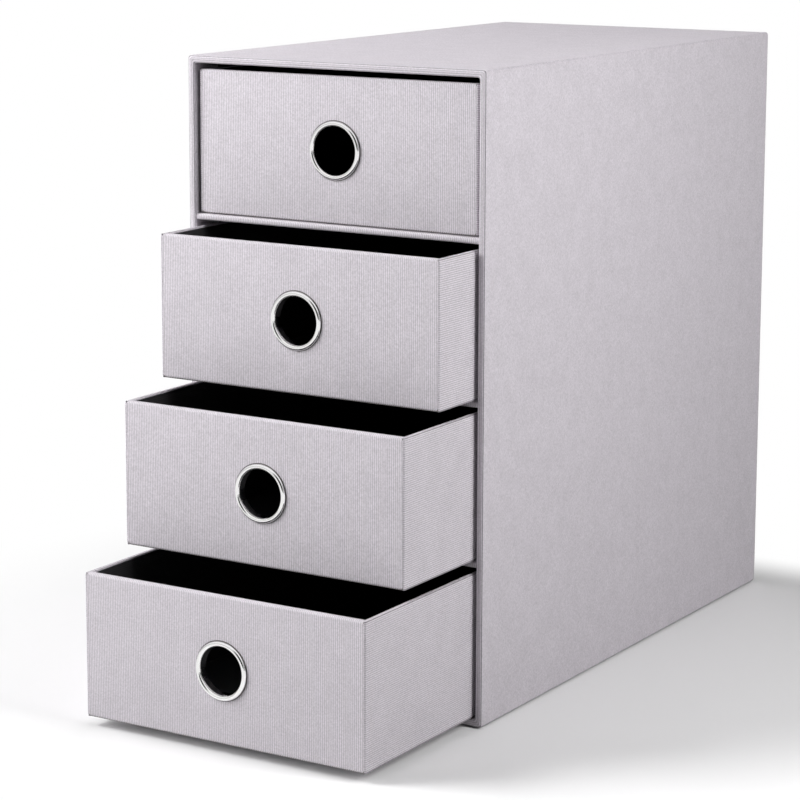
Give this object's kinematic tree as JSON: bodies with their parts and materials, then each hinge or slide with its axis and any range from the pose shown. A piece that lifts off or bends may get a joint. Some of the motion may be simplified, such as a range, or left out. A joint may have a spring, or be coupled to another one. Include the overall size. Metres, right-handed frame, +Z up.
{
  "type": "desktop drawer organiser",
  "caption": "Tall narrow paper-covered box with stacked pull-out drawers, each with a round metal eyelet as a finger hole, for small craft parts and stationery.",
  "frame": {"origin": "middle of the casing's underside, on the surface it stands on", "axes": "+Z up, +Y from the open front to the back, +X to the right seen from the front"},
  "size_m": [0.15, 0.3652, 0.28],
  "materials": {
    "ribbed_paper": "matt, finely ribbed",
    "lining_grey": "matt",
    "black_paper": "matt, finely ribbed",
    "grey_board": "raw",
    "black_card": "matt",
    "nickel": "polished"
  },
  "bodies": {
    "casing": {"casing_cover": "ribbed_paper", "back_sheet": "ribbed_paper", "shelf_1_wrap": "ribbed_paper", "shelf_2_wrap": "ribbed_paper", "shelf_3_wrap": "ribbed_paper", "casing_lining": "lining_grey", "casing_top_board": "grey_board", "casing_base_board": "grey_board", "casing_left_board": "grey_board", "casing_right_board": "grey_board", "casing_back_board": "grey_board", "shelf_1_board": "grey_board", "shelf_2_board": "grey_board", "shelf_3_board": "grey_board", "underside_card": "black_card"},
    "drawer_1": {"drawer_1_cover": "ribbed_paper", "drawer_1_lining": "black_paper", "drawer_1_front_board": "grey_board", "drawer_1_back_board": "grey_board", "drawer_1_left_board": "grey_board", "drawer_1_right_board": "grey_board", "drawer_1_floor_board": "grey_board", "drawer_1_eyelet": "nickel", "drawer_1_eyelet_washer": "nickel"},
    "drawer_2": {"drawer_2_cover": "ribbed_paper", "drawer_2_lining": "black_paper", "drawer_2_front_board": "grey_board", "drawer_2_back_board": "grey_board", "drawer_2_left_board": "grey_board", "drawer_2_right_board": "grey_board", "drawer_2_floor_board": "grey_board", "drawer_2_eyelet": "nickel", "drawer_2_eyelet_washer": "nickel"},
    "drawer_3": {"drawer_3_cover": "ribbed_paper", "drawer_3_lining": "black_paper", "drawer_3_front_board": "grey_board", "drawer_3_back_board": "grey_board", "drawer_3_left_board": "grey_board", "drawer_3_right_board": "grey_board", "drawer_3_floor_board": "grey_board", "drawer_3_eyelet": "nickel", "drawer_3_eyelet_washer": "nickel"},
    "drawer_4": {"drawer_4_cover": "ribbed_paper", "drawer_4_lining": "black_paper", "drawer_4_front_board": "grey_board", "drawer_4_back_board": "grey_board", "drawer_4_left_board": "grey_board", "drawer_4_right_board": "grey_board", "drawer_4_floor_board": "grey_board", "drawer_4_eyelet": "nickel", "drawer_4_eyelet_washer": "nickel"}
  },
  "joints": [
    {"name": "drawer_1_slide", "type": "slide", "parent": "casing", "child": "drawer_1", "axis": [0, -1, 0], "range_m": [0, 0.29]},
    {"name": "drawer_2_slide", "type": "slide", "parent": "casing", "child": "drawer_2", "axis": [0, -1, 0], "range_m": [-0.03, 0.26]},
    {"name": "drawer_3_slide", "type": "slide", "parent": "casing", "child": "drawer_3", "axis": [0, -1, 0], "range_m": [-0.057, 0.233]},
    {"name": "drawer_4_slide", "type": "slide", "parent": "casing", "child": "drawer_4", "axis": [0, -1, 0], "range_m": [-0.086, 0.204]}
  ]
}
